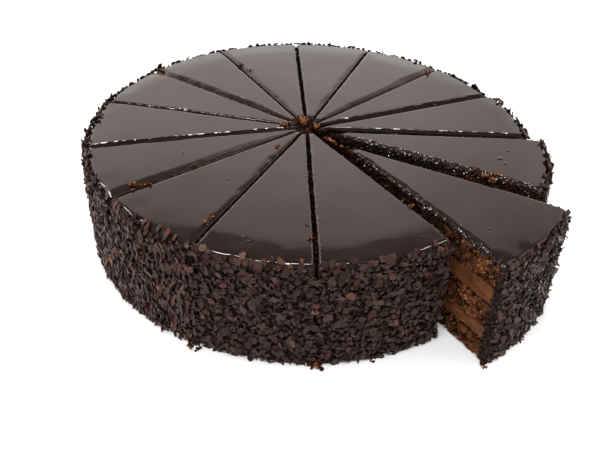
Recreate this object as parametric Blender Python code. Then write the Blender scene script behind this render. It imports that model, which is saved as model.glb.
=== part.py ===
"""A round chocolate layer cake, cut into fourteen slices, with one slice drawn part of the way out.

Every slice is an icing shell, poured over the top and down the side with chocolate flakes pressed
into it, round three layers of sponge and two of chocolate cream. The slices stand apart by the
width of the knife. On the three slices that meet at the opening, whose cut faces show, every layer
is a solid of its own. The layers of a slice that nobody can see into are one solid.

Metres, +Z up. The cake stands on Z = 0, and the origin is the middle of its footprint. It is seen
from -Y, and the opening is to the right of that side.
"""

import math
import random

import bpy
from mathutils import Matrix, Vector

# Whole cake
CAKE_RADIUS = 0.1275  # to the face of the icing at the side
CAKE_HEIGHT = 0.0650
FLAKE_REACH = 0.0024  # how far the flakes stand out from the icing at the side
GAP = 0.0003  # between solids that touch on the real cake

# Icing
ICING_TOP = 0.0030
ICING_SIDE = 0.0030
RIM_ROUND = 0.0030
RIM_STEPS = 3
ICING_RELIEF = 0.0014  # the bed of small flakes, as bumps of their size
RELIEF_STEP = 0.0064

# Layers from the table up: name, height, and whether it crumbles when it is cut
LAYERS = (
    ("sponge_bottom", 0.0132, True),
    ("cream_lower", 0.0078, False),
    ("sponge_middle", 0.0157, True),
    ("cream_upper", 0.0100, False),
    ("sponge_top", 0.0153, True),
)
CORE_ARC_STEPS = 5

# Crumb on the cut faces that show
CRUMB_STEP = 0.0080
CRUMB_DEPTH = 0.0008  # torn out of the face
CRUMB_PROUD = 0.0003  # left standing on it

# Cuts, in degrees. The slices run clockwise, seen from above, from the opening's near side. Slice 1
# is the drawn one, which fills what the thirteen others leave, and slice 2 is the first of the ring.
KERF = 0.0020
OPENING_NEAR = -55.0
SLICE_WIDTHS = (31.3, 27.0, 26.5, 25.7, 25.3, 23.1, 25.0, 25.9, 24.4, 25.0, 21.1, 24.2, 26.3)
OPEN_SLICES = (1, 2, 14)  # their cut faces show

# How far a slice has moved, and in which direction. The two on the opening's far side were dragged
# along with the drawn one, between their own middle and its way out.
MOVES = {1: (0.0285, -40.4), 13: (0.0037, -10.0), 14: (0.0124, -19.4)}

# Flakes: thin broken plates of chocolate, the largest ones of the coating
FLAKE_SPACING = 0.0140
FLAKE_STAGGER = 0.25  # of every other row, as a share of the spacing
FLAKE_JITTER = 0.18  # share of the spacing
FLAKE_MARGIN = 0.0041  # from a flake's middle to a cut or to the table
FLAKE_CORNERS = (3, 4, 4)  # one of these, drawn at random
FLAKE_LENGTH = (0.0052, 0.0074)
FLAKE_SLIMNESS = (0.62, 0.90)
FLAKE_THICKNESS = (0.0011, 0.0015)
FLAKE_TILT = (12.0, 38.0)  # lean out of the side, in degrees
FLAKE_BELOW_RIM = 0.0034  # from the flat top to the middle of the highest flakes
FLAKE_SINK = 0.0016  # how deep a flake's deepest corner is pressed into the icing
SEED = 11

# Colours: base colour, roughness
MATERIALS = {
    "icing": ((0.022, 0.013, 0.011), 0.18),
    "sponge": ((0.155, 0.058, 0.018), 0.90),
    "cream": ((0.190, 0.075, 0.028), 0.55),
    "cake": ((0.165, 0.063, 0.021), 0.85),
}


def clear_scene():
    for obj in list(bpy.data.objects):
        bpy.data.objects.remove(obj, do_unlink=True)


def make_material(name):
    colour, roughness = MATERIALS[name]
    material = bpy.data.materials.new(name)
    material.use_nodes = True
    shader = material.node_tree.nodes["Principled BSDF"]
    shader.inputs["Base Color"].default_value = (*colour, 1.0)
    shader.inputs["Roughness"].default_value = roughness
    shader.inputs["Metallic"].default_value = 0.0
    return material


def make_object(name, vertices, faces, material, collection=None):
    mesh = bpy.data.meshes.new(name)
    mesh.from_pydata(vertices, [], faces)
    mesh.materials.append(material)
    obj = bpy.data.objects.new(name, mesh)
    (collection or bpy.context.scene.collection).objects.link(obj)
    return obj


class Slice:
    """The plan of one slice, in its own frame: the cake's centre is at the origin, and the slice
    opens along +X between two cut planes, each half a kerf inside the nominal cut."""

    def __init__(self, width_degrees):
        self.half_angle = math.radians(width_degrees) / 2
        self.tip = KERF / 2 / math.sin(self.half_angle)

    def half_at(self, radius):
        """The angle from the slice's middle to its cut planes, at this radius."""
        return self.half_angle - math.asin(KERF / 2 / radius)

    def point(self, radius, share):
        """A point at this radius, with share running from 0 to 1 across the slice."""
        angle = (2 * share - 1) * self.half_at(radius)
        return radius * math.cos(angle), radius * math.sin(angle)

    def arc(self, radius, steps):
        return [self.point(radius, i / steps) for i in range(steps + 1)]

    def cut_face(self, radius, steps, side, depth, proud, rng):
        """Points between the tip and the outer edge of one cut face, pushed in or out at random."""
        outward = (math.sin(self.half_angle), math.cos(self.half_angle) * side)
        found = []
        for i in range(1, steps):
            along = self.tip + (radius - self.tip) * i / steps
            x, y = self.point(along, (side + 1) / 2)
            push = rng.uniform(-depth, proud)
            found.append((x - outward[0] * push, y + outward[1] * push))
        return found


def layer_outlines(plan, radius, levels, face_steps, rng):
    """One outline of the slice for each level: tip, one cut face, the arc, the other cut face.
    A face of one step is flat, and a face of more steps is crumbly."""
    outlines = []
    for z in levels:
        right = plan.cut_face(radius, face_steps, -1, CRUMB_DEPTH, CRUMB_PROUD, rng)
        left = plan.cut_face(radius, face_steps, 1, CRUMB_DEPTH, CRUMB_PROUD, rng)
        loop = [(plan.tip, 0.0), *right, *plan.arc(radius, CORE_ARC_STEPS), *reversed(left)]
        outlines.append([(x, y, z) for x, y in loop])
    return outlines


def stack_outlines(name, outlines, material):
    """A closed solid through outlines of equal length, from the lowest to the highest."""
    count = len(outlines[0])
    faces = [tuple(reversed(range(count)))]
    for level in range(len(outlines) - 1):
        low, high = level * count, (level + 1) * count
        for i in range(count):
            j = (i + 1) % count
            faces.append((low + i, low + j, high + j))
            faces.append((low + i, high + j, high + i))
    top = (len(outlines) - 1) * count
    faces.append(tuple(range(top, top + count)))
    return make_object(name, [p for outline in outlines for p in outline], faces, material)


def core_radius():
    return CAKE_RADIUS - ICING_SIDE - GAP


def make_layers(number, plan, materials, rng):
    """The three sponges and two creams of a slice whose cut faces show."""
    made = []
    base = 0.0
    for name, height, crumbles in LAYERS:
        face_steps = round(core_radius() / CRUMB_STEP) if crumbles else 1
        level_steps = max(1, round(height / CRUMB_STEP)) if crumbles else 1
        top = base + height - GAP
        levels = [base + (top - base) * i / level_steps for i in range(level_steps + 1)]
        outlines = layer_outlines(plan, core_radius(), levels, face_steps, rng)
        material = materials["sponge" if crumbles else "cream"]
        made.append(stack_outlines(f"slice_{number:02d}_{name}", outlines, material))
        base += height
    return made


def make_closed_core(number, plan, materials, rng):
    """All the layers of a slice that can't be seen into, as one solid."""
    top = CAKE_HEIGHT - ICING_TOP - GAP
    outlines = layer_outlines(plan, core_radius(), (0.0, top), 1, rng)
    return stack_outlines(f"slice_{number:02d}_cake", outlines, materials["cake"])


def icing_rows():
    """(radius, height, relief) of the rows of points from the flat top, over the rim, to the table."""
    rows = []
    for i in range(RIM_STEPS + 1):
        turn = math.pi / 2 * i / RIM_STEPS
        radius = CAKE_RADIUS - RIM_ROUND + RIM_ROUND * math.sin(turn)
        height = CAKE_HEIGHT - RIM_ROUND + RIM_ROUND * math.cos(turn)
        rows.append((radius, height, 0.0))
    wall = CAKE_HEIGHT - RIM_ROUND
    steps = round(wall / RELIEF_STEP)
    rows += [(CAKE_RADIUS, wall * (1 - i / steps), ICING_RELIEF) for i in range(1, steps + 1)]
    return rows


def make_icing(number, plan, materials, rng):
    """The icing shell of a slice: a sheet over the top and a wall down the side."""
    columns = round(2 * plan.half_angle * CAKE_RADIUS / RELIEF_STEP)
    vertices, faces = [], []
    outer = []
    for radius, height, relief in icing_rows():
        row = []
        for column in range(columns + 1):
            lift = rng.uniform(-relief, relief) / 2
            x, y = plan.point(radius + lift, column / columns)
            row.append(len(vertices))
            vertices.append((x, y, height))
        outer.append(row)
    for upper, lower in zip(outer, outer[1:]):
        for i in range(columns):
            faces.append((upper[i], lower[i], lower[i + 1]))
            faces.append((upper[i], lower[i + 1], upper[i + 1]))

    inner_radius = CAKE_RADIUS - ICING_SIDE
    under = CAKE_HEIGHT - ICING_TOP
    inner_top = list(range(len(vertices), len(vertices) + CORE_ARC_STEPS + 1))
    vertices += [(x, y, under) for x, y in plan.arc(inner_radius, CORE_ARC_STEPS)]
    inner_foot = list(range(len(vertices), len(vertices) + CORE_ARC_STEPS + 1))
    vertices += [(x, y, 0.0) for x, y in plan.arc(inner_radius, CORE_ARC_STEPS)]
    tip_top, tip_under = len(vertices), len(vertices) + 1
    vertices += [(plan.tip, 0.0, CAKE_HEIGHT), (plan.tip, 0.0, under)]

    faces.append((tip_top, *outer[0]))
    faces.append((tip_under, *reversed(inner_top)))
    faces.append((*inner_foot, *reversed(outer[-1])))
    for i in range(CORE_ARC_STEPS):
        faces.append((inner_top[i], inner_top[i + 1], inner_foot[i + 1], inner_foot[i]))
    right = [row[0] for row in outer]
    left = [row[-1] for row in outer]
    faces.append((tip_top, tip_under, inner_top[0], inner_foot[0], *reversed(right)))
    faces.append((*left, inner_foot[-1], inner_top[-1], tip_under, tip_top))
    return make_object(f"slice_{number:02d}_icing", vertices, faces, materials["icing"])


def flake_outline(rng, length, width):
    """The corners of a broken plate, no two of which are alike."""
    count = rng.choice(FLAKE_CORNERS)
    corners = []
    for i in range(count):
        turn = 2 * math.pi * (i + 0.5 + rng.uniform(-FLAKE_JITTER, FLAKE_JITTER)) / count
        corners.append((length / 2 * math.cos(turn), width / 2 * math.sin(turn)))
    return corners


def surface_radius(height):
    """The radius of the icing's face at this height, on the side or on the round rim."""
    above = max(0.0, height - (CAKE_HEIGHT - RIM_ROUND))
    return CAKE_RADIUS - RIM_ROUND + math.sqrt(RIM_ROUND**2 - above**2)


def make_flake(rng, angle, height, material, collection):
    """One plate at a place on the side. It lies against the icing, leans out of it, and its
    deepest corner is pressed in to a fixed depth."""
    length = rng.uniform(*FLAKE_LENGTH)
    corners = flake_outline(rng, length, length * rng.uniform(*FLAKE_SLIMNESS))
    half = rng.uniform(*FLAKE_THICKNESS) / 2
    heading = rng.uniform(0, 2 * math.pi)
    lean_axis = Vector((math.cos(heading), math.sin(heading), 0.0))
    lean = Matrix.Rotation(math.radians(rng.uniform(*FLAKE_TILT)), 3, lean_axis)
    spin = Matrix.Rotation(rng.uniform(0, 2 * math.pi), 3, "Z")
    turned = [lean @ spin @ Vector((x, y, z)) for z in (-half, half) for x, y in corners]

    out = Vector((math.cos(angle), math.sin(angle), 0.0))
    around = Vector((-math.sin(angle), math.cos(angle), 0.0))
    against = Matrix((around, Vector((0.0, 0.0, 1.0)), out)).transposed()
    backed = [corner for corner in turned if height + corner.y < CAKE_HEIGHT - FLAKE_SINK]
    stand = max(surface_radius(height + corner.y) - corner.z for corner in backed) - FLAKE_SINK
    centre = out * stand + Vector((0.0, 0.0, height))
    vertices = [centre + against @ corner for corner in turned]
    count = len(corners)
    faces = [tuple(reversed(range(count))), tuple(range(count, 2 * count))]
    for i in range(count):
        j = (i + 1) % count
        faces.append((i, j, j + count, i + count))
    return make_object("flake", vertices, faces, material, collection)


def add_flakes(icing, plan, material, rng):
    """Presses flakes into the side, in staggered rows, and joins them to the icing."""
    collection = bpy.data.collections.new("flakes")
    bpy.context.scene.collection.children.link(collection)
    arc = 2 * plan.half_at(CAKE_RADIUS) * CAKE_RADIUS - 2 * FLAKE_MARGIN
    low, high = FLAKE_MARGIN, CAKE_HEIGHT - FLAKE_BELOW_RIM
    rows = round((high - low) / FLAKE_SPACING)
    columns = round(arc / FLAKE_SPACING)
    for row in range(rows + 1):
        stagger = FLAKE_STAGGER if row % 2 else -FLAKE_STAGGER
        for column in range(columns + 1):
            share = (column + stagger + rng.uniform(-FLAKE_JITTER, FLAKE_JITTER)) / columns
            rise = (row + rng.uniform(-FLAKE_JITTER, FLAKE_JITTER)) / rows
            angle = arc * (min(1.0, max(0.0, share)) - 0.5) / CAKE_RADIUS
            height = low + (high - low) * min(1.0, max(0.0, rise))
            make_flake(rng, angle, height, material, collection)
    join = icing.modifiers.new("join flakes", "BOOLEAN")
    join.operation = "UNION"
    join.operand_type = "COLLECTION"
    join.collection = collection
    join.solver = "MANIFOLD"
    graph = bpy.context.evaluated_depsgraph_get()
    joined = bpy.data.meshes.new_from_object(icing.evaluated_get(graph))
    icing.modifiers.clear()
    icing.data = joined
    for flake in list(collection.objects):
        bpy.data.objects.remove(flake, do_unlink=True)
    bpy.data.collections.remove(collection)


def place_slice(number, middle, pieces, cake):
    """Turns a finished slice to its place in the cake, and moves it if it has been moved."""
    holder = bpy.data.objects.new(f"slice_{number:02d}", None)
    bpy.context.scene.collection.objects.link(holder)
    holder.parent = cake
    holder.location = (*move_of(number), 0.0)
    holder.rotation_euler = (0.0, 0.0, math.radians(middle))
    for piece in pieces:
        piece.parent = holder


def move_of(number):
    distance, direction = MOVES.get(number, (0.0, 0.0))
    turn = math.radians(direction)
    return distance * math.cos(turn), distance * math.sin(turn)


def slice_table():
    """(number, width, middle) of the fourteen slices, in degrees, the drawn one first."""
    drawn_width = 360.0 - sum(SLICE_WIDTHS)
    table = [(1, drawn_width, OPENING_NEAR + drawn_width / 2)]
    edge = OPENING_NEAR
    for number, width in enumerate(SLICE_WIDTHS, start=2):
        table.append((number, width, edge - width / 2))
        edge -= width
    return table


def footprint_centre():
    """Where the middle of the footprint is along X, with the cake's own centre at the origin. Only
    the last slice, whose far edge points along X, reaches past the full circle."""
    return move_of(len(SLICE_WIDTHS) + 1)[0] / 2


def main():
    clear_scene()
    materials = {name: make_material(name) for name in MATERIALS}
    cake = bpy.data.objects.new("cake", None)
    bpy.context.scene.collection.objects.link(cake)
    cake.location = (-footprint_centre(), 0.0, 0.0)
    for number, width, middle in slice_table():
        rng = random.Random(SEED + number)
        plan = Slice(width)
        icing = make_icing(number, plan, materials, rng)
        add_flakes(icing, plan, materials["icing"], rng)
        if number in OPEN_SLICES:
            inside = make_layers(number, plan, materials, rng)
        else:
            inside = [make_closed_core(number, plan, materials, rng)]
        place_slice(number, middle, [icing, *inside], cake)


main()
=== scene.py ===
"""The looks of a round chocolate layer cake, cut into fourteen slices, with one drawn part way out.

Metres, +Z up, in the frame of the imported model. Every icing shell is replaced by a thick glossy
glaze with rounded, knife-dragged lips and by thousands of broken flakes on the side, and every
layer by crumbly sponge or smooth cream. Crumbs lie in the middle, along the cuts and at the foot.
"""

import itertools
import math
from collections import namedtuple

import bpy
import numpy as np
from mathutils import Matrix, Vector


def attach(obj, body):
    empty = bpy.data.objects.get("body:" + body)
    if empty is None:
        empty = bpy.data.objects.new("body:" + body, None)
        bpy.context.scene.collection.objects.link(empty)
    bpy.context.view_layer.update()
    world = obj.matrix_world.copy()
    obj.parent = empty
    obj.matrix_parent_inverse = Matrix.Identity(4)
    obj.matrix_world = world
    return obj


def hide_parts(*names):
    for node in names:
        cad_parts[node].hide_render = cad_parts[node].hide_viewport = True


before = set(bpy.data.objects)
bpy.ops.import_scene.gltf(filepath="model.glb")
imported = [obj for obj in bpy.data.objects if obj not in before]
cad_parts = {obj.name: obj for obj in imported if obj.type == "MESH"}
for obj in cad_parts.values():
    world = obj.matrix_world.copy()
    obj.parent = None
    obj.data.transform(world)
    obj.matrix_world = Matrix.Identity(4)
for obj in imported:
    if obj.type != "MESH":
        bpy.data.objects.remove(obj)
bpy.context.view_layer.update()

MM = 0.001

# The cake's sizes and cuts, as in the model
CAKE_RADIUS = 0.1275
CAKE_HEIGHT = 0.0650
GAP = 0.0003
ICING_TOP = 0.0030
ICING_SIDE = 0.0030
LAYERS = (
    ("sponge_bottom", 0.0132, True),
    ("cream_lower", 0.0078, False),
    ("sponge_middle", 0.0157, True),
    ("cream_upper", 0.0100, False),
    ("sponge_top", 0.0153, True),
)
KERF = 0.0020
OPENING_NEAR = -55.0
SLICE_WIDTHS = (31.3, 27.0, 26.5, 25.7, 25.3, 23.1, 25.0, 25.9, 24.4, 25.0, 21.1, 24.2, 26.3)
OPEN_SLICES = (1, 2, 14)
OPEN_CUTS = ((1, 1), (1, -1), (2, 1), (14, -1))  # slice and side, 1 being the anticlockwise one
MOVES = {1: (0.0285, -40.4), 13: (0.0037, -10.0), 14: (0.0124, -19.4)}  # distance, direction

# How the knife dragged the glaze down beside each cut: width and depth in millimetres, how torn it
# is, from 0 to 1, and how it bends, 1 being an even slope and 2 one that steepens towards the cut.
# For each slice first on its anticlockwise side, seen from above.
CLEAN = (0.7, 0.25, 0.0, 2.0)
LIPS = (
    ((0.7, 0.30, 0.0, 2.0), (2.0, 1.80, 0.6, 1.5)),
    ((0.7, 0.25, 0.1, 2.0), (0.9, 1.20, 0.3, 2.0)),
    ((0.9, 1.20, 0.3, 2.0), CLEAN),
    ((3.4, 0.70, 0.0, 2.2), CLEAN),
    ((5.2, 0.65, 0.0, 1.1), (1.3, 1.00, 0.0, 1.5)),
    ((1.0, 3.40, 0.1, 1.1), (0.7, 0.35, 0.0, 2.0)),
    ((0.8, 1.80, 0.4, 2.0), CLEAN),
    ((4.0, 0.90, 0.1, 1.1), CLEAN),
    ((2.8, 0.70, 0.0, 2.0), (0.8, 1.00, 0.3, 2.0)),
    ((0.8, 1.00, 0.3, 2.0), (2.6, 0.70, 0.0, 2.0)),
    (CLEAN, (4.4, 0.95, 0.0, 1.1)),
    (CLEAN, (1.2, 3.00, 0.0, 1.2)),
    (CLEAN, (0.5, 2.20, 0.1, 1.1)),
    ((0.7, 0.30, 0.0, 2.0), (2.2, 2.00, 1.0, 1.4)),
)
LIP_EDGE = 0.0006  # radius of the lip's own edge
LIP_BULGE = 0.00020  # how far the soft lip hangs over the cut
# The glaze was torn off the slices' tips, out to this radius in millimetres
BARE_TIPS = (8, 6.5, 7, 6, 7, 7, 8, 10, 12, 11.5, 9, 7, 6, 9)

BED_RADIUS = 0.1272  # of the glaze at the side, under the flakes
ROLL = 0.0032  # radius of the glaze where it rolls over the rim
SHOULDER = 0.00070  # how far the top slopes down before it
SHOULDER_WIDTH = 0.0170
# The top hardly slopes down here: the angle on the ring, how far to each side, and how much less
FLATTER_AT = math.radians(-128)
FLATTER_WIDTH = 0.24
FLATTER_SHARE = 0.75
RIM_TOP = CAKE_HEIGHT - SHOULDER
FLAT_END = BED_RADIUS - ROLL  # where the top ends and the roll begins
RING_REACH = 124  # millimetres from a slice's tip to where the cut's glaze ends

FLAT = np.array([1.0, 1.0, 0.0])  # a point times this lies on the table
UP = np.array([0.0, 0.0, 1.0])


def hashed(ix, iy, iz, seed):
    """A repeatable random number from 0 to 1 for each cell of a lattice."""
    h = (ix * 374761393 + iy * 668265263 + iz * 1440662683 + seed * 974711) & 0xFFFFFFFF
    h = ((h ^ (h >> 13)) * 1274126177) & 0xFFFFFFFF
    h = ((h ^ (h >> 16)) * 1103515245) & 0xFFFFFFFF
    return (h ^ (h >> 15)) / 0xFFFFFFFF


def noise(points, cell, seed):
    """Smooth noise from -1 to 1 at points of shape (N, 3), with lumps about a cell across."""
    scaled = points / cell
    base = np.floor(scaled).astype(np.int64)
    f = scaled - base
    f = f * f * (3 - 2 * f)
    total = np.zeros(len(points))
    for corner in itertools.product((0, 1), repeat=3):
        weight = np.prod(np.where(corner, f, 1 - f), axis=1)
        total += weight * hashed(*(base + corner).T, seed)
    return 2 * total - 1


def lumps(points, cell, seed):
    """1 in the middle of each of many round lumps about a cell across, and near 0 between them."""
    scaled = points / cell
    base = np.floor(scaled).astype(np.int64)
    nearest = np.full(len(points), 9.0)
    for offset in itertools.product((-1, 0, 1), repeat=3):
        cell_at = base + offset
        centre = cell_at + np.stack([hashed(*cell_at.T, seed + axis) for axis in range(3)], axis=1)
        nearest = np.minimum(nearest, ((centre - scaled) ** 2).sum(axis=1))
    return np.clip(1 - nearest, 0, 1)


def unit(vectors):
    return vectors / np.linalg.norm(vectors, axis=1)[:, None]


def smooth(x):
    x = np.clip(x, 0, 1)
    return x * x * (3 - 2 * x)


def around(radius, angle, height):
    """Points at these distances, angles and heights, one to a row."""
    points = (radius * np.cos(angle), radius * np.sin(angle), height)
    return np.stack(np.broadcast_arrays(*points), axis=1)


def move_of(number):
    """How far a slice was moved when the drawn one came out, along X and Y."""
    distance, degrees = MOVES.get(number, (0.0, 0.0))
    direction = math.radians(degrees)
    return distance * math.cos(direction), distance * math.sin(direction)


CENTRE_X = -move_of(14)[0] / 2  # the ring's centre, from the middle of the model's box


class Slice:
    """One slice in plan. In its own frame the cake's centre is at the origin and the slice opens
    along +X. Side 1 is its anticlockwise cut face and side -1 its clockwise one."""

    def __init__(self, number, width, middle):
        self.number = number
        self.name = f"slice_{number:02d}"
        self.half_angle = math.radians(width) / 2
        self.tip = KERF / 2 / math.sin(self.half_angle)
        self.bare = BARE_TIPS[number - 1] * MM
        self.middle = math.radians(middle)
        move_x, move_y = move_of(number)
        self.origin = np.array([CENTRE_X + move_x, move_y, 0.0])

    def reach(self, radius):
        """The distance from a cut face to the slice's middle line, at this radius."""
        return radius * math.sin(self.half_angle) - KERF / 2

    def angle(self, radius, distance):
        """The angle from the middle of a point this far inside a cut face."""
        return self.half_angle - np.arcsin((distance + KERF / 2) / radius)

    def lip(self, side):
        """The lip's shape along a cut and the seed of its unevenness."""
        return LIPS[self.number - 1][(1 - side) // 2], 100 * self.number + 10 * (side + 1)

    def outward(self, side):
        """The direction out of a cut face, in the slice's own frame."""
        return np.array([-math.sin(self.half_angle), side * math.cos(self.half_angle), 0.0])

    def turn(self):
        c, s = math.cos(self.middle), math.sin(self.middle)
        return np.array([[c, -s, 0.0], [s, c, 0.0], [0.0, 0.0, 1.0]])

    def place(self, local):
        """Points of the slice's own frame, shape (..., 3), in the frame of the model."""
        return local @ self.turn().T + self.origin


def on_ring(degrees, distance):
    """A point on the table, this many millimetres from the ring's centre."""
    return np.array([CENTRE_X, 0.0, 0.0]) + around(distance * MM, np.radians([degrees]), 0.0)[0]


def slice_list():
    """The fourteen slices: the drawn one, then the others clockwise from the opening."""
    drawn_width = 360.0 - sum(SLICE_WIDTHS)
    slices = [Slice(1, drawn_width, OPENING_NEAR + drawn_width / 2)]
    edge = OPENING_NEAR
    for number, width in enumerate(SLICE_WIDTHS, start=2):
        slices.append(Slice(number, width, edge - width / 2))
        edge -= width
    return slices


def make_piece(name, points, faces, looks, tones, nodes=(), sharp=None, look_of_face=None):
    """A mesh that stands in for these nodes of the model. Its looks are materials, and the tones
    numbers from 0 to 1 at its points, which the materials turn into shades."""
    mesh = bpy.data.meshes.new(name)
    mesh.from_pydata(points.tolist(), [], faces)
    for look in looks:
        mesh.materials.append(look)
    if look_of_face is not None:
        mesh.polygons.foreach_set("material_index", look_of_face)
    if sharp is not None:
        mesh.shade_smooth()
        mesh.set_sharp_from_angle(angle=math.radians(sharp))
    mesh.validate()
    tone = mesh.attributes.new("tone", "FLOAT", "POINT")
    tone.data.foreach_set("value", tones.astype(np.float32))
    piece = bpy.data.objects.new(name, mesh)
    bpy.context.scene.collection.objects.link(piece)
    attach(piece, "root")
    if nodes:
        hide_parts(*nodes)


def grid_faces(rows, columns, start=0):
    """Quads between loops of points, one loop to a row."""
    faces = []
    for i in range(rows - 1):
        low, high = start + i * columns, start + (i + 1) * columns
        for j in range(columns):
            k = (j + 1) % columns
            faces.append((low + j, high + j, high + k, low + k))
    return faces


# Materials

def new_material(name):
    material = bpy.data.materials.new(name)
    material.use_nodes = True
    return material, material.node_tree, material.node_tree.nodes["Principled BSDF"]


def feed(tree, node, inputs):
    """Sets a node's inputs to numbers and colours, or links them to other nodes."""
    for key, value in inputs.items():
        if isinstance(value, bpy.types.NodeSocket):
            tree.links.new(value, node.inputs[key])
        else:
            node.inputs[key].default_value = value


def add_node(tree, kind, inputs, **settings):
    node = tree.nodes.new(f"ShaderNode{kind}")
    for key, value in settings.items():
        setattr(node, key, value)
    feed(tree, node, inputs)
    return node.outputs


def add_noise(tree, scale, detail=3.0, roughness=0.5, squeeze=1.0):
    """Noise through the object, whose lumps can be squeezed flat."""
    place = add_node(tree, "TexCoord", {})["Object"]
    if squeeze != 1.0:
        place = add_node(tree, "Mapping", {"Vector": place, "Scale": (1.0, 1.0, squeeze)})["Vector"]
    inputs = {"Vector": place, "Scale": scale, "Detail": detail, "Roughness": roughness}
    return add_node(tree, "TexNoise", inputs)["Fac"]


def add_ramp(tree, factor, stops):
    node = tree.nodes.new("ShaderNodeValToRGB")
    feed(tree, node, {"Fac": factor})
    elements = node.color_ramp.elements
    while len(elements) < len(stops):
        elements.new(0.5)
    for element, (position, colour) in zip(elements, stops):
        element.position = position
        element.color = (*colour, 1.0)
    return node.outputs["Color"]


def add_range(tree, value, low, high, start=0.0, end=1.0):
    inputs = {"Value": value, "From Min": start, "From Max": end, "To Min": low, "To Max": high}
    return add_node(tree, "MapRange", inputs)["Result"]


def add_math(tree, operation, first, second):
    return add_node(tree, "Math", {0: first, 1: second}, operation=operation)["Value"]


def add_mix(tree, factor, first, second, blend="MIX"):
    inputs = {"Factor": factor, "A": first, "B": second}
    return add_node(tree, "Mix", inputs, data_type="RGBA", blend_type=blend)["Result"]


def add_bump(tree, height, distance, strength):
    inputs = {"Height": height, "Distance": distance, "Strength": strength}
    return add_node(tree, "Bump", inputs)["Normal"]


def tone_of(tree):
    return add_node(tree, "Attribute", {}, attribute_name="tone")["Fac"]


def glaze_material():
    """Smooth and glossy, but rough in small where its tone says that the knife dragged it."""
    material, tree, shader = new_material("glaze")
    stops = ((0.30, (0.009, 0.0048, 0.0040)), (0.70, (0.014, 0.0075, 0.0060)))
    dragged = add_range(tree, tone_of(tree), 0.02, 0.5)
    feed(tree, shader, {
        "Base Color": add_ramp(tree, add_noise(tree, 60.0, 4.0), stops),
        "Roughness": add_range(tree, add_noise(tree, 140.0, 5.0, 0.65), 0.05, 0.12, 0.35, 0.70),
        "Specular IOR Level": 0.60,
        "Specular Tint": (1.0, 0.92, 0.90, 1.0),
        "Normal": add_bump(tree, add_noise(tree, 420.0, 2.0), 0.0011, dragged),
    })
    return material


def bed_material():
    """The glaze under the flakes, dull with chocolate dust."""
    material, tree, shader = new_material("glaze_under_flakes")
    stops = ((0.35, (0.006, 0.0035, 0.0030)), (0.70, (0.022, 0.0120, 0.0100)))
    feed(tree, shader, {
        "Base Color": add_ramp(tree, add_noise(tree, 700.0), stops),
        "Roughness": 0.75,
        "Specular IOR Level": 0.25,
    })
    return material


def flake_material():
    """Broken chocolate: each flake's tone sets how light it is, and carries painted shade on the
    flakes' backs and on the deep ones and painted light on those at the rim; a slow noise sets how
    red or tan.
    """
    material, tree, shader = new_material("flake")
    shades = (
        (0.00, (0.0035, 0.0024, 0.0022)),
        (0.45, (0.0130, 0.0078, 0.0070)),
        (0.85, (0.0340, 0.0175, 0.0152)),
        (0.97, (0.0750, 0.0370, 0.0270)),
        (1.00, (0.1400, 0.0720, 0.0390)),
    )
    hues = ((0.34, (1.20, 1.08, 0.78)), (0.50, (1.0, 1.0, 1.0)), (0.66, (1.25, 0.86, 0.98)))
    shade = add_ramp(tree, tone_of(tree), shades)
    hue = add_ramp(tree, add_noise(tree, 280.0, 0.0), hues)
    mottle = add_noise(tree, 1500.0)
    feed(tree, shader, {
        "Base Color": add_mix(tree, 1.0, shade, hue, "MULTIPLY"),
        "Roughness": add_range(tree, mottle, 0.30, 0.50, 0.35, 0.70),
        "Specular IOR Level": 0.26,
        "Specular Tint": (1.0, 0.74, 0.67, 1.0),
        "Normal": add_bump(tree, mottle, 0.00006, 0.35),
    })
    return material


def sponge_material():
    """Dark torn crumb whose tone picks out orange-brown crumbs; the tone also carries painted shade
    and painted light from the cut's relief, and painted shade towards the tips.
    """
    material, tree, shader = new_material("sponge")
    grain = add_noise(tree, 1300.0, 4.0, 0.7)
    mixed = add_math(tree, "ADD", tone_of(tree), add_range(tree, grain, -0.25, 0.25, 0.3, 0.7))
    stops = (
        (0.05, (0.006, 0.0033, 0.0024)),
        (0.35, (0.034, 0.0140, 0.0070)),
        (0.60, (0.105, 0.0370, 0.0140)),
        (0.80, (0.230, 0.0850, 0.0380)),
        (0.92, (0.340, 0.1500, 0.0700)),
        (1.00, (0.420, 0.2400, 0.0950)),
    )
    feed(tree, shader, {
        "Base Color": add_ramp(tree, mixed, stops),
        "Roughness": 0.80,
        "Specular IOR Level": 0.06,
        "Specular Tint": (1.0, 0.70, 0.55, 1.0),
        "Normal": add_bump(tree, grain, 0.00030, 0.8),
    })
    return material


def cream_material():
    """Smooth cream with level streaks where the knife went through."""
    material, tree, shader = new_material("cream")
    streaks = add_noise(tree, 160.0, 4.0, squeeze=5.0)
    mixed = add_math(tree, "ADD", tone_of(tree), add_range(tree, streaks, -0.2, 0.2, 0.3, 0.7))
    stops = (
        (0.0, (0.018, 0.0070, 0.0035)),
        (0.5, (0.098, 0.0340, 0.0120)),
        (1.0, (0.190, 0.0680, 0.0230)),
    )
    feed(tree, shader, {
        "Base Color": add_ramp(tree, mixed, stops),
        "Roughness": add_range(tree, streaks, 0.40, 0.60, 0.3, 0.7),
        "Specular IOR Level": 0.20,
        "Specular Tint": (1.0, 0.75, 0.60, 1.0),
        "Normal": add_bump(tree, streaks, 0.00015, 0.6),
    })
    return material


# Glaze

# Steps across a lip: the way from its edge, and how much of the dragged width is added to it
EDGE_STEPS = np.array([0.0, 0.15, 0.35, 0.60, 0.60, 0.60, 0.60, 0.60, 0.95, 2.40]) * MM
WIDTH_SHARES = (0.0, 0.0, 0.0, 0.0, 0.25, 0.50, 0.75, 1.0, 1.0, 1.0)
TOP_STEPS = 24
TORN_STEPS = 4
INNER_STEPS = 6
ROLL_STEPS = 12
DOWN_STEPS = 10
INNER_CORNER = 0.6  # the share of the roll at which the inside turns from the top to the wall


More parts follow.
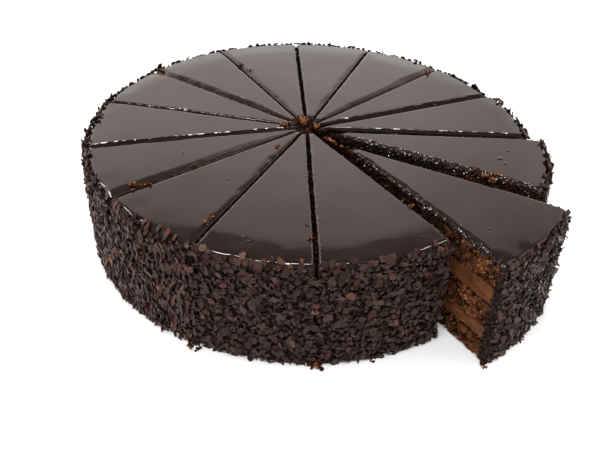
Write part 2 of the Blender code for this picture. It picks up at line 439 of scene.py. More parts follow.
def lip(piece, side, radius, height):
    """For each step across a lip, all along the cut: the distance from the cut, how far the glaze
    has sunk there and how much it was dragged."""
    (width, depth, torn, bend), seed = piece.lip(side)
    along = around(radius, 0.0, height)
    wander = 1 + 0.25 * noise(along, 16 * MM, seed)
    wander += (0.04 + 0.4 * torn) * noise(along, 4 * MM, seed + 1)
    bend = 1 + (bend - 1) * smooth(0.8 + 1.2 * noise(along, 7 * MM, seed + 2))
    width = width * MM * wander
    room = np.minimum(1.0, 0.8 * piece.reach(radius) / (EDGE_STEPS[-1] + width))
    edge = LIP_EDGE * room
    steps = []
    for past_edge, share in zip(EDGE_STEPS, WIDTH_SHARES):
        distance = (past_edge + width * share) * room
        inside = np.clip(1 - distance / edge, 0, 1)
        left = np.clip(1 - distance / ((LIP_EDGE + width) * room), 0, 1)
        at = np.stack([radius, side * distance, height], axis=1)
        rough = torn * 0.9 * MM * (lumps(at, 1.6 * MM, seed + 7) - 0.5) * smooth(6 * left)
        sunk = edge * (1 - np.sqrt(1 - inside**2))
        sunk += (depth * MM * wander * left**bend - rough) * room
        steps.append((distance, sunk, smooth(8 * left) * (0.04 + 0.96 * torn)))
    return steps


def top_slope(radius):
    """0 on the flat of the top, growing to 1 where the roll over the rim begins."""
    return np.maximum(0.0, 1 - (FLAT_END - radius) / SHOULDER_WIDTH) ** 2


def top_height(radius):
    return CAKE_HEIGHT - SHOULDER * top_slope(radius)


def glaze_rows(start):
    """(radius, height, outward lean in radians, inner radius, inner height) from the start near
    the tip, over the rim and down to the table."""
    rows = []
    under = CAKE_HEIGHT - ICING_TOP
    wall = CAKE_RADIUS - ICING_SIDE
    steps = round((FLAT_END - start) / (0.8 * MM))
    for i in range(steps + 1):
        radius = start + (FLAT_END - start) * i / steps
        rows.append((radius, top_height(radius), 0.0, radius, under))
    roll_low = RIM_TOP - ROLL
    for i in range(1, ROLL_STEPS + 1):
        share = i / ROLL_STEPS
        lean = share * math.pi / 2
        inner_radius = FLAT_END + (wall - FLAT_END) * min(1.0, share / INNER_CORNER)
        past_corner = max(0.0, share - INNER_CORNER) / (1 - INNER_CORNER)
        inner_height = under - (under - roll_low) * past_corner
        outer = (FLAT_END + ROLL * math.sin(lean), roll_low + ROLL * math.cos(lean))
        rows.append((*outer, lean, inner_radius, inner_height))
    for i in range(1, DOWN_STEPS + 1):
        height = roll_low * (1 - i / DOWN_STEPS)
        rows.append((BED_RADIUS, height, math.pi / 2, wall, height))
    return np.array(rows)


def surface_height(points, radii):
    """The slow swell of the poured glaze over the whole cake, and its waves near the rim."""
    flat = points * FLAT
    swell = 0.10 * MM * noise(flat, 38 * MM, 5) + 0.03 * MM * noise(flat, 13 * MM, 6)
    near_rim = np.clip((radii - BED_RADIUS + 16 * MM) / (12 * MM), 0, 1)
    turn = np.arctan2(points[:, 1], points[:, 0] - CENTRE_X) - FLATTER_AT
    flatter = FLATTER_SHARE * np.exp(-((turn / FLATTER_WIDTH) ** 2))
    lift = flatter * SHOULDER * np.minimum(top_slope(radii), 1)
    return swell + lift + 0.15 * MM * near_rim * noise(flat, 11 * MM, 7)


def tear_tip(flat, near, middling, outside):
    """Leaves a torn, thinning edge where the glaze ends before the tip: near is 1 at that edge, and
    middling 1 half-way round the loop of points and 0 at its ends."""
    flat[:, 0] += 1.3 * MM * near * noise(flat * FLAT, 2.5 * MM, 9)
    flat[:, 0] -= 1.5 * MM * near * middling * outside
    thin = 0.7 + 0.6 * noise(flat, 1.8 * MM, 11)
    flat[:, 2] -= 2.0 * MM * near**2 * outside * thin


def side_bumps(points, lean):
    """How far the glaze stands out of the side: lumps of flakes, and dents in the roll."""
    side = smooth((lean - 0.9) / 0.6)
    roll = smooth(lean / 0.5) * (1 - side)
    dents = 0.55 * noise(points, 6 * MM, 22) + 0.34 * noise(points, 2.2 * MM, 23)
    return MM * (0.45 * noise(points, 3.2 * MM, 21) * side + dents * roll)


def make_glaze(piece, glaze, bed):
    """The glaze shell of a slice: a loop of points round it for each row from tip to foot."""
    radius, height, lean, inner_radius, inner_height = glaze_rows(piece.bare).T
    count = len(radius)
    on_top = 1 - smooth(lean / (math.pi / 2))
    hold = 0.15 + 0.85 * on_top
    taper = np.minimum(1.0, piece.reach(radius) / (3 * MM))
    along = around(radius, 0.0, height)
    blocks, flat_edges = {}, {}
    for side in (1, -1):
        (_, _, torn, _), seed = piece.lip(side)
        jag = LIP_BULGE + (0.20 + 0.25 * torn) * MM * noise(along, 2.2 * MM, seed + 4)
        made = []
        for distance, sunk, drag in lip(piece, side, radius, height):
            shift = distance - taper * jag * np.clip(1 - distance / (1.5 * MM), 0, 1)
            r = radius - sunk * hold * np.sin(lean)
            z = height - sunk * hold * np.cos(lean)
            made.append((side * piece.angle(r, shift), r, z, drag))
        _, lip_r, lip_z, _ = made[0]
        under = []
        for i in range(1, TORN_STEPS + 1):
            share = i / TORN_STEPS
            r = lip_r + (inner_radius - lip_r) * share
            z = lip_z + (inner_height - lip_z) * share
            at = np.stack([r, np.full(count, 0.01 * side), z], axis=1)
            rough = 0.7 * MM * (lumps(at, 1.5 * MM, seed + 7) - 0.5) * math.sin(math.pi * share)
            shift = -taper * (jag * (1 - share) + rough)
            under.append((side * piece.angle(r, shift), r, z, np.ones(count)))
        flat_edges[side] = made[-1][0]
        blocks[side] = [*reversed(under), *made]
    clean = np.zeros(count)
    middle = []
    for share in np.arange(1, TOP_STEPS) / TOP_STEPS:
        angle = flat_edges[1] * (1 - share) + flat_edges[-1] * share
        middle.append((angle, radius, height, clean))
    inner_angle = piece.angle(inner_radius, 0.0)
    inner = []
    for share in np.arange(1, INNER_STEPS) / INNER_STEPS:
        inner.append((inner_angle * (2 * share - 1), inner_radius, inner_height, clean))
    columns = [*blocks[1], *middle, *reversed(blocks[-1]), *inner]
    per_row = len(columns)
    flat = np.stack([around(r, a, z) for a, r, z, _ in columns], axis=1).reshape(-1, 3)
    drags = np.stack([drag for _, _, _, drag in columns], axis=1).ravel()

    radii = np.repeat(radius, per_row)
    leans = np.repeat(lean, per_row)
    column = np.tile(np.arange(per_row), count)
    outside = column < per_row - len(inner)
    near = np.clip(1 - (radii - piece.bare) / (4 * MM), 0, 1)
    tear_tip(flat, near, 1 - (2 * column / per_row - 1) ** 2, outside)
    points = piece.place(flat)
    points[:, 2] += surface_height(points, radii) * np.repeat(on_top, per_row) * outside
    bumps = side_bumps(points, leans) * outside
    points += unit((points - piece.origin) * FLAT) * bumps[:, None]
    faces = grid_faces(count, per_row)
    faces.append(tuple(range(per_row)))
    faces.append(tuple(reversed(range((count - 1) * per_row, count * per_row))))
    under_flakes = np.append(np.repeat(lean[:-1] > 1.0, per_row), (0, 1)).tolist()
    make_piece(
        f"glaze_{piece.number:02d}", points, faces, [glaze, bed], np.maximum(drags, 0.7 * near),
        [f"{piece.name}_icing"], sharp=55, look_of_face=under_flakes,
    )


# Layers

ARC_STEPS = 10
OPEN_STEP = 0.8 * MM  # between points on the cuts that show
CLOSED_STEP = 2.6 * MM


def layer_faces(levels, loop, start):
    """The walls of a stack of loops, and a face below and above it."""
    below = tuple(start + i for i in reversed(range(loop)))
    top = start + (levels - 1) * loop
    walls = [(a, d, c, b) for a, b, c, d in grid_faces(levels, loop, start)]
    return [below, *walls, tuple(range(top, top + loop))]


def crumb_relief(points, seed):
    """How far the torn crumb stands out of (+) or lies inside (-) the cut, and its tone, which is
    painted shade in the holes and painted light on the raised lumps.
    """
    big = lumps(points, 3.0 * MM, seed)
    small = lumps(points, 1.4 * MM, seed + 10)
    swell = noise(points, 9 * MM, seed + 30)
    hole = smooth((noise(points, 2.6 * MM, seed + 40) - 0.10) / 0.35)
    relief = (-0.9 + 0.55 * big + 0.55 * small + 0.30 * swell - 1.8 * hole) * MM
    # The tone follows the relief: painted shade in the holes, painted light on the lumps that stand
    # out
    tone = 0.12 + 0.28 * big + 0.30 * small + 0.12 * swell - 0.5 * hole
    return np.minimum(relief, 0.4 * MM), tone


def cream_relief(points, seed):
    """The same for cream, which the knife only streaked."""
    drag = noise(points * (1, 1, 3), 7 * MM, seed)
    ripple = noise(points * (1, 1, 4), 2.2 * MM, seed + 10)
    return (-0.15 + 0.25 * drag + 0.12 * ripple) * MM, 0.55 + 0.25 * drag + 0.10 * ripple


def painted_shade_share(piece, radii):
    """How light the cut looks, as painted shade: dark near the tip, deep in the opening, and in the
    closed cuts all along.
    """
    if piece.number not in OPEN_SLICES:
        return np.full_like(radii, 0.15)
    return 0.25 + 0.75 * smooth((radii - 40 * MM) / (60 * MM))


def interface(index, points):
    """The height of the boundary under layer number index, which wanders a little."""
    height = sum(layer[1] for layer in LAYERS[:index])
    if index == 0:
        return np.zeros(len(points))
    if index == len(LAYERS):
        return np.full(len(points), height - GAP)
    flat = points * FLAT
    return height + 0.8 * MM * noise(flat, 8 * MM, 70 + index) + 0.4 * MM * noise(flat, 2 * MM, 90)


def raise_to(piece, index, local, share):
    """Sets the height of points to this share of a layer's, and gives them in the model's frame."""
    world = piece.place(local)
    low, high = interface(index, world), interface(index + 1, world)
    local[:, 2] = low + (high - low) * share
    world[:, 2] = local[:, 2]
    return world


def layer_mesh(piece, index, step):
    """The vertices, loop length, levels and tones of one layer of a slice."""
    _, thickness, crumbles = LAYERS[index]
    outer = CAKE_RADIUS - ICING_SIDE - GAP
    surface = crumb_relief if crumbles else cream_relief
    face_steps = round((outer - piece.tip) / step)
    levels = max(3, round(thickness / step) + 1)
    radii = piece.tip + (outer - piece.tip) * np.arange(1, face_steps) / face_steps
    room = np.clip(piece.reach(radii) / (5 * MM), 0, 1) * np.clip((outer - radii) / (1 * MM), 0, 1)
    arc_angle = float(piece.angle(outer, 0.0))
    turn = np.linspace(-arc_angle, arc_angle, ARC_STEPS + 1)
    outlines, tones = [], []
    for share in np.arange(levels) / (levels - 1):
        faces = {}
        for side in (-1, 1):
            local = around(radii, side * piece.angle(radii, 0.0), 0.0)
            world = raise_to(piece, index, local, share)
            relief, tone = surface(world, 300 + 7 * piece.number)
            local += (relief * room)[:, None] * piece.outward(side)
            # The tone is darkened by painted shade towards the tip and in the closed cuts
            faces[side] = (local, np.clip(tone * painted_shade_share(piece, radii), 0, 1))
        tip = np.array([[piece.tip, 0.0, 0.0]])
        arc = around(outer, turn, 0.0)
        for part in (tip, arc):
            raise_to(piece, index, part, share)
        outlines.append(np.concatenate([tip, faces[-1][0], arc, faces[1][0][::-1]]))
        dark = np.full(len(arc) + 1, 0.1)
        tones.append(np.concatenate([dark[:1], faces[-1][1], dark[1:], faces[1][1][::-1]]))
    return np.concatenate(outlines), len(outlines[0]), levels, np.concatenate(tones)


def make_layer(piece, index, material):
    points, loop, levels, tones = layer_mesh(piece, index, OPEN_STEP)
    layer, _, crumbles = LAYERS[index]
    make_piece(
        f"s{piece.number:02d}_{layer}", piece.place(points), layer_faces(levels, loop, 0),
        [material], tones,
        [f"{piece.name}_{layer}"], sharp=70,
    )


def make_closed_cake(piece, sponge, cream):
    """All five layers of a slice whose cut faces are only seen down a narrow cut."""
    vertices, faces, tones, look_of = [], [], [], []
    start = 0
    for index, (_, _, crumbles) in enumerate(LAYERS):
        points, loop, levels, tone = layer_mesh(piece, index, CLOSED_STEP)
        made = layer_faces(levels, loop, start)
        vertices.append(piece.place(points))
        tones.append(tone)
        faces += made
        look_of += [0 if crumbles else 1] * len(made)
        start += len(points)
    make_piece(
        f"s{piece.number:02d}_cake", np.concatenate(vertices), faces, [sponge, cream],
        np.concatenate(tones), [f"{piece.name}_cake"], sharp=70, look_of_face=look_of,
    )


# Flakes

SIDE_START = math.radians(36)  # how far the rim has turned over where the flakes begin
SIDE_RIM = ROLL * (math.pi / 2 - SIDE_START)
SIDE_LENGTH = SIDE_RIM + RIM_TOP - ROLL


def side_place(down, across):
    """Points on the glaze's side with their outward normals. down is the way down from where the
    flakes begin, across the angle from the slice's middle; both are arrays."""
    lean = np.clip(SIDE_START + down / ROLL, None, math.pi / 2)
    height = RIM_TOP - ROLL + np.where(down < SIDE_RIM, ROLL * np.cos(lean), SIDE_RIM - down)
    points = around(FLAT_END + ROLL * np.sin(lean), across, height)
    return points, around(np.sin(lean), across, np.cos(lean))


def flake_margin(piece, side, down):
    """How far inside a cut the flakes' middles stop. They hang over the closed cuts, but for the
    top of those in front."""
    if (piece.number, side) in OPEN_CUTS:
        return np.full_like(down, 0.2 * MM)
    in_front = math.sin(piece.middle + side * piece.half_angle) < -0.6
    return np.where(in_front & (down < 9 * MM), 0.5 * MM, -0.8 * MM)


def side_scatter(piece, rng, spacing, jitter, top=0.0, bottom=SIDE_LENGTH):
    """Uneven places over the side of a slice: the way down and the angle across."""
    columns = max(1, round(2 * piece.half_angle * BED_RADIUS / spacing))
    rows = max(1, round((bottom - top) / spacing))
    j, i = (grid.ravel() for grid in np.meshgrid(np.arange(columns), np.arange(rows)))
    share = (j + 0.25 + 0.5 * (i % 2) + jitter * rng.uniform(-0.5, 0.5, i.size)) / columns
    down = top + (bottom - top) * (i + 0.5 + jitter * rng.uniform(-0.5, 0.5, i.size)) / rows
    low = -piece.angle(BED_RADIUS, flake_margin(piece, -1, down))
    high = piece.angle(BED_RADIUS, flake_margin(piece, 1, down))
    return down, low + (high - low) * np.clip(share, 0, 1)


def plate_frames(rng, normals, tilt, upright):
    """Axes of plates that lean away from the given normals by the tilt, any way round. The more
    upright they are, from 0 to 1, the nearer their first axis stands to upright."""
    level = unit(np.cross(UP, normals) + 1e-9)
    way = rng.uniform(0, 2 * math.pi, len(normals))[:, None]
    toward = level * np.cos(way) + np.cross(normals, level) * np.sin(way)
    tilt = tilt[:, None]
    facing = normals * np.cos(tilt) + toward * np.sin(tilt)
    side = unit(np.cross(UP, facing) + 1e-9)
    spin = (rng.uniform(-0.5, 0.5, len(normals)) * math.pi * (1 - upright))[:, None]
    x = np.cross(facing, side) * np.cos(spin) + side * np.sin(spin)
    return np.stack([x, np.cross(facing, x), facing], axis=1)


def plates(rng, centres, frames, length, width, thickness, corners):
    """Vertices and faces of broken plates with the same number of corners, back first."""
    count = len(centres)
    turn = 2 * math.pi * (np.arange(corners) + rng.uniform(-0.30, 0.30, (count, corners))) / corners
    size = rng.uniform(0.80, 1.15, (count, corners))
    x = np.cos(turn) * size * length[:, None] / 2
    y = np.sin(turn) * size * width[:, None] / 2
    bend = rng.uniform(-0.07, 0.07, count)[:, None] * (x * x + y * y) / length[:, None]
    half = thickness[:, None] / 2
    inset = 1 - 0.5 * thickness[:, None] / width[:, None] * rng.uniform(0, 1, (count, 1))
    layers = []
    for sign, grow in ((-1, 1.0), (1, inset)):
        local = np.stack([x * grow, y * grow, bend + sign * half], axis=2)
        layers.append(centres[:, None, :] + local @ frames)
    ring = range(corners)
    pattern = [tuple(reversed(ring)), tuple(corners + i for i in ring)]
    pattern += [(i, (i + 1) % corners, corners + (i + 1) % corners, corners + i) for i in ring]
    return np.concatenate(layers, axis=1), pattern


class Heap:
    """Collects scattered bodies of one kind into one mesh."""

    def __init__(self, seed=0):
        self.vertices, self.faces, self.tones = [], [], []
        self.count = 0
        self.rng = np.random.default_rng(seed)

    def add(self, vertices, pattern, tones):
        """Bodies with the same faces: their vertices have the shape (bodies, corners, 3)."""
        bodies, per = vertices.shape[:2]
        for start in range(self.count, self.count + bodies * per, per):
            self.faces += [tuple(start + i for i in face) for face in pattern]
        self.vertices.append(vertices.reshape(-1, 3))
        self.tones.append(np.ravel(tones))
        self.count += bodies * per

    def finish(self, name, material, nodes=(), sharp=None):
        points, tones = np.concatenate(self.vertices), np.concatenate(self.tones)
        points[:, 2] = np.maximum(points[:, 2], 0.1 * MM)
        make_piece(name, points, self.faces, [material], tones, nodes, sharp)


def add_plates(heap, piece, points, normals, kind):
    """Flakes of one kind at these points of a slice, in the slice's own frame."""
    rng = heap.rng
    count = len(points)
    length = kind.length * MM * rng.uniform(0.70, 1.30, count)
    width = length * rng.uniform(*kind.slim, count)
    thickness = rng.uniform(*kind.thickness, count) * MM
    tilt = np.radians(rng.uniform(*kind.tilt, count))
    tone = np.clip(rng.normal(kind.tone, 0.16, count), 0.05, 0.93)
    tone = np.where(rng.uniform(0, 1, count) < kind.light, rng.uniform(0.93, 1.0, count), tone)
    out = kind.out * MM + 0.5 * thickness + 0.28 * length * np.sin(tilt)
    centres = points + normals * out[:, None]
    frames = plate_frames(rng, normals, tilt, kind.upright)
    corners = rng.integers(*kind.corners, count)
    for sides in np.unique(corners):
        some = corners == sides
        sizes = (length[some], width[some], thickness[some])
        vertices, pattern = plates(rng, centres[some], frames[some], *sizes, int(sides))
        # The backs get 0.4 of the tone: painted shade under each flake, which its edges blend into
        shades = np.repeat(np.stack([0.4 * tone[some], tone[some]], axis=1), sides, axis=1)
        heap.add(piece.place(vertices), pattern, shades)


# Kinds of flakes, in millimetres and degrees. light is the share of pale ones, out how far they
# stand off the glaze, and upright, from 0 to 1, how nearly they stand upright.
Kind = namedtuple(
    "Kind", "spacing jitter length slim thickness tilt tone light out corners upright"
)
# Their tones are painted shade by depth: the deep flakes, lying lowest, are darkest, and those
# standing further out lighter
KINDS = {
    "deep": Kind(2.7, 1.0, 3.2, (0.50, 0.95), (0.4, 0.7), (5, 60), 0.18, 0.002, 0.10, (3, 5), 0),
    "flat": Kind(3.15, 0.85, 3.9, (0.60, 0.98), (0.5, 0.9), (0, 36), 0.55, 0.008, 0.90, (4, 7), 0),
    "sliver": Kind(3.5, 1.0, 4.0, (0.20, 0.36), (0.4, 0.65), (5, 70), 0.60, 0.008, 1.15, (4, 5), 0),
    "large": Kind(8.5, 1.0, 5.2, (0.65, 0.95), (0.6, 0.9), (0, 28), 0.68, 0.03, 1.35, (4, 7), 0),
}
END_FLAKES = KINDS["deep"]._replace(length=2.6, tone=0.40, out=-0.35)
# The rim flakes' tone is raised as painted light from above
RIM_FLAKES = KINDS["large"]._replace(length=4.6, tilt=(0, 30), tone=0.82, light=0.07, out=0.40)
BACK_RIM_FLAKES = RIM_FLAKES._replace(length=2.9, slim=(0.60, 0.98), thickness=(0.8, 1.3))
# On the slices at the left the rim's flakes are longer, and long slivers stand upright
LEFT_SLICES = (4, 5, 6, 7)
LEFT_RIM_FLAKES = RIM_FLAKES._replace(length=5.4, slim=(0.30, 0.60), out=0.8, upright=0.8)
SHARDS = KINDS["sliver"]._replace(
    length=6.4, slim=(0.26, 0.44), thickness=(0.6, 1.0), tilt=(0, 34), tone=0.76, light=0.03,
    out=1.5, upright=0.85,
)
END_COUNT = 190  # flakes on each open cut's outer end
RIM_SPACING = 3.7 * MM
RIM_BAND = (-0.9 * MM, 2.9 * MM)  # down the side
SHORE_RADIUS = 0.13  # where the uneven line at the rim takes its noise


def end_places(piece, side, rng, count):
    """Places on a cut's outer end, where the side's layer of glaze and flakes was cut through."""
    radius = BED_RADIUS + rng.uniform(-3.2, 1.6, count) * MM
    height = rng.uniform(0, RIM_TOP - 3.5 * MM, count)
    points = around(radius, side * piece.angle(radius, 0.0), height)
    return points, np.tile(piece.outward(side), (count, 1))


def below_shore(piece, down, across, margin):
    """Whether places lie under the uneven line at the rim above which the glaze is bare."""
    edge = piece.place(around(SHORE_RADIUS, across, 0.0))
    shore = 0.9 * MM * noise(edge, 7 * MM, 40) + 0.8 * MM * noise(edge, 2.5 * MM, 41)
    return down > shore + margin


def add_rim_flakes(heap, piece):
    """Flakes that lie on the rim, all along the front and here and there at the back."""
    rng = heap.rng
    down, across = side_scatter(piece, rng, RIM_SPACING, 1.0, *RIM_BAND)
    in_front = np.sin(piece.middle + across) < 0.1
    few = (down > 0.6 * MM) & (rng.uniform(0, 1, down.size) < 0.65)
    front = LEFT_RIM_FLAKES if piece.number in LEFT_SLICES else RIM_FLAKES
    for kept, kind in ((in_front, front), (~in_front & few, BACK_RIM_FLAKES)):
        points, normals = side_place(down[kept], across[kept])
        add_plates(heap, piece, points, unit(normals * (1, 1, 0.5)), kind)


def make_flakes(slices, material):
    nodes = [f"{piece.name}_icing" for piece in slices]
    for number, (name, kind) in enumerate(KINDS.items()):
        heap = Heap()
        for piece in slices:
            heap.rng = np.random.default_rng(1000 * number + piece.number)
            down, across = side_scatter(piece, heap.rng, kind.spacing * MM, kind.jitter)
            kept = below_shore(piece, down, across, (2.2 if name == "sliver" else 1.0) * MM)
            shards = name == "sliver" and piece.number in LEFT_SLICES
            places = side_place(down[kept], across[kept])
            add_plates(heap, piece, *places, SHARDS if shards else kind)
            if name == "large":
                add_rim_flakes(heap, piece)
            if name == "deep":
                for side in (1, -1):
                    if (piece.number, side) in OPEN_CUTS:
                        places = end_places(piece, side, heap.rng, END_COUNT)
                        add_plates(heap, piece, *places, END_FLAKES)
        heap.finish(f"flakes_{name}", material, nodes)


# Crumbs

GOLDEN = (1 + math.sqrt(5)) / 2
SIGNS = list(itertools.product((-1, 1), repeat=2))
LUMP_CORNERS = unit(
    np.array([np.roll((0, a, b * GOLDEN), -shift) for shift in range(3) for a, b in SIGNS])
)


def lump_faces():
    """The twenty triangles of the icosahedron, facing out."""
    side = 2 / math.sqrt(1 + GOLDEN**2)
    near = np.abs(np.linalg.norm(LUMP_CORNERS[:, None] - LUMP_CORNERS[None], axis=2) - side) < 0.05
    faces = []
    for a, b, c in itertools.combinations(range(12), 3):
        if near[a, b] and near[b, c] and near[a, c]:
            p, q, r = LUMP_CORNERS[[a, b, c]]
            out = np.dot(np.cross(q - p, r - p), p) > 0
            faces.append((a, b, c) if out else (a, c, b))
    return faces


LUMP = (LUMP_CORNERS, lump_faces())
BIT_CORNERS = np.repeat(np.eye(3), 2, axis=0) * np.tile((1.0, -1.0), 3)[:, None]
BIT_FACES = [
    (x, 2 + y, 4 + z) if (x + y + z) % 2 == 0 else (x, 4 + z, 2 + y)
    for x, y, z in itertools.product((0, 1), repeat=3)
]
BIT = (BIT_CORNERS, BIT_FACES)


def add_lumps(heap, centres, sizes, tones, shape=LUMP):
    """Irregular crumbs of a shape with its corners and faces."""
    rng = heap.rng
    corners, pattern = shape
    count, per = len(centres), len(corners)
    swell = rng.uniform(0.55, 1.15, (count, per, 1))
    stretch = rng.uniform(0.7, 1.25, (count, 1, 3))
    angle = rng.uniform(0, 2 * math.pi, count)[:, None]
    x, y, z = np.moveaxis(corners * swell * stretch * sizes[:, None, None] / 2, 2, 0)
    c, s = np.cos(angle), np.sin(angle)
    turned = np.stack([c * x - s * y, s * x + c * y, z], axis=2)
    heap.add(centres[:, None, :] + turned, pattern, np.repeat(tones, per))


def mixed_tones(rng, count, bright):
    """Tones of crumbs, of which this share is bright."""
    dark = rng.uniform(0.10, 0.45, count)
    return np.where(rng.uniform(0, 1, count) < bright, rng.uniform(0.55, 0.85, count), dark)


# Groups of crumbs on the cake: angle in degrees and distance from the ring's centre, spread in
# millimetres, how many, their size, and the share of bright ones
CRUMB_GROUPS = (
    (172, 14.0, 1.3, 8, 2.7, 0.90), (166, 10.6, 1.3, 8, 2.7, 0.90), (104, 8.3, 1.8, 28, 2.2, 0.75),
    (115, 4.0, 1.9, 18, 2.0, 0.45), (-2, 5.4, 1.5, 14, 2.0, 0.80), (-50, 18.5, 1.9, 18, 1.6, 0.30),
    (-48, 24.0, 1.6, 14, 1.5, 0.35), (-47.5, 30.0, 1.5, 10, 1.5, 0.25),
    (120.3, 95.6, 1.6, 20, 1.7, 0.65), (118.4, 85.5, 0.8, 4, 1.1, 0.5),
    (145.0, 122.0, 1.5, 16, 1.5, 0.80), (45.8, 116.0, 1.8, 18, 1.4, 0.45),
    (44.5, 112.0, 0.9, 5, 1.2, 0.4), (-142.1, 112.3, 1.6, 14, 1.6, 0.45),
    (-140.3, 109.0, 1.8, 16, 1.5, 0.35), (-139.6, 105.8, 1.5, 14, 1.5, 0.45),
    (-139.8, 115.7, 0.9, 5, 1.4, 0.6), (-141.2, 76.9, 1.3, 9, 1.4, 0.6),
    (-114.7, 104.9, 1.2, 8, 1.5, 0.45), (-114.7, 110.5, 1.2, 9, 1.5, 0.60),
    (-122.7, 29.1, 1.3, 9, 1.4, 0.7), (-87.6, 109.0, 0.9, 6, 1.4, 0.60),
    (-88.4, 98.4, 0.7, 4, 1.1, 0.0), (-24.2, 102.2, 2.4, 22, 1.5, 0.35),
    (-25.7, 109.6, 2.0, 22, 1.5, 0.40), (-23.9, 113.9, 1.6, 18, 1.7, 0.60),
    (-27.0, 113.5, 2.2, 20, 1.5, 0.35), (-25.6, 119.5, 1.8, 14, 1.5, 0.25),
    (-54.6, 75.5, 1.0, 6, 1.2, 0.5), (-54.8, 96.0, 1.3, 10, 1.4, 0.65),
    (-54.7, 90.0, 1.0, 6, 1.3, 0.4),
)
# Crumbs and flakes that fell at the cake's foot, in the same way
FOOT_GROUPS = (
    (-85.5, 131.0, 2.6, 34, 1.9, 0.22), (-114.5, 131.0, 2.4, 30, 1.9, 0.22),
    (-112.5, 132.0, 1.2, 8, 1.8, 0.2), (-52.5, 156.5, 1.8, 16, 1.9, 0.50),
    (-72.6, 131.0, 1.0, 5, 1.6, 0.2),
)


def make_crumbs(material):
    heap = Heap(77)
    rng = heap.rng
    for groups, level in ((CRUMB_GROUPS, CAKE_HEIGHT), (FOOT_GROUPS, 0.0)):
        for degrees, distance, spread, count, size, bright in groups:
            flat = rng.normal(0, spread * MM * 0.55, (count, 2))
            sizes = rng.uniform(0.45, 1.25, count) * size * MM
            middle = np.exp(-((np.linalg.norm(flat, axis=1) / (spread * MM)) ** 2))
            pile = middle * spread * 0.45 * MM
            heights = level + 0.3 * sizes + pile * rng.uniform(0, 1, count)
            places = on_ring(degrees, distance)[:2] + flat
            centres = np.concatenate([places, heights[:, None]], axis=1)
            add_lumps(heap, centres, sizes, mixed_tones(rng, count, bright))
    heap.finish("crumbs", material, sharp=40)


def make_middle(slices, material):
    """Torn crumb where the slices' tips lost their glaze."""
    heap = Heap(78)
    rng = heap.rng
    for piece in slices:
        count = round(3.2 * (piece.bare / MM) ** 2 * piece.half_angle) + 12
        radius = 1.15 * piece.bare * np.sqrt(rng.uniform(0, 1, count)) + 0.5 * MM
        angle = 1.15 * piece.half_angle * rng.uniform(-1, 1, count)
        height = CAKE_HEIGHT - ICING_TOP + rng.uniform(-1.0, 1.8, count) * MM
        centres = piece.place(around(radius, angle, height))
        sizes = rng.uniform(0.8, 2.2, count) * MM
        add_lumps(heap, centres, sizes, 0.7 * mixed_tones(rng, count, 0.04))
    heap.finish("middle_crumbs", material, sharp=40)


def cut_places(piece, side, radius, height, out):
    """Points that stand this far out of a cut face."""
    return piece.place(around(radius, side * piece.angle(radius, -out), height))


def make_cut_fill(slices, material):
    """Crumb that the knife left in the closed cuts, painted dark as the shade inside them."""
    heap = Heap(82)
    rng = heap.rng
    count = 230
    for piece in slices[2:]:
        radius = (8 + 117 * rng.uniform(0, 1, count)) * MM
        height = CAKE_HEIGHT - rng.uniform(1.2, 7.0, count) * MM
        centres = cut_places(piece, 1, radius, height, rng.uniform(0.2, 1.8, count) * MM)
        sizes = rng.uniform(0.7, 2.0, count) * MM
        # Low tones: painted shade inside the narrow cuts
        add_lumps(heap, centres, sizes, 0.3 * rng.uniform(0, 1, count), BIT)
    heap.finish("crumbs_in_cuts", material)


def make_face_crumbs(slices, material):
    """Loose crumb all over the open cuts' sponge, with little of it on the cream."""
    heap = Heap(79)
    rng = heap.rng
    count = 4200
    on_cream = 0.10  # the share of the cream's crumbs that stay
    bounds = np.cumsum([0.0] + [layer[1] for layer in LAYERS])
    crumbles = np.array([layer[2] for layer in LAYERS])
    for number, side in OPEN_CUTS:
        piece = slices[number - 1]
        radius = 4 * MM + (CAKE_RADIUS - 6.5 * MM) * rng.uniform(0, 1, count)
        height = rng.uniform(0.6 * MM, bounds[-1], count)
        layer = np.clip(np.searchsorted(bounds, height) - 1, 0, len(LAYERS) - 1)
        kept = crumbles[layer] | (rng.uniform(0, 1, count) < on_cream)
        kept &= piece.reach(radius) > 1.5 * MM
        radius, height = radius[kept], height[kept]
        share = smooth((radius - 55 * MM) / (50 * MM))
        out = rng.uniform(-0.5, 0.45, radius.size) * MM
        sizes = np.clip(rng.lognormal(0.05, 0.40, radius.size), 0.5, 2.6) * MM
        centres = cut_places(piece, side, radius, height, out)
        patches = np.clip(0.5 + 1.6 * noise(centres, 4.5 * MM, 50), 0, 1)
        # Painted shade: fewer bright crumbs and darker tones towards the tip, deep in the opening
        tones = mixed_tones(rng, radius.size, 0.03 + 0.60 * share * patches) * (0.5 + 0.5 * share)
        add_lumps(heap, centres, sizes, tones, BIT)
    heap.finish("cut_crumbs", material)


# Torn glaze that hangs down an open cut: slice, side, how many lumps and how deep on average
SMEARS = ((14, -1, 1500, 3.0), (1, -1, 520, 1.2), (1, 1, 260, 1.6), (2, 1, 260, 1.6))


def make_smears(slices, material):
    heap = Heap(80)
    rng = heap.rng
    for number, side, count, deep in SMEARS:
        piece = slices[number - 1]
        radius = piece.bare + (RING_REACH * MM - piece.bare) * rng.uniform(0, 1, count)
        height = CAKE_HEIGHT - 0.9 * MM - np.minimum(rng.exponential(deep, count), 14) * MM
        sizes = rng.uniform(0.9, 2.4, count) * MM
        centres = cut_places(piece, side, radius, height, rng.uniform(-0.7, 0.3, count) * MM)
        add_lumps(heap, centres, sizes, np.full(count, 0.2))
    heap.finish("glaze_smears", material)


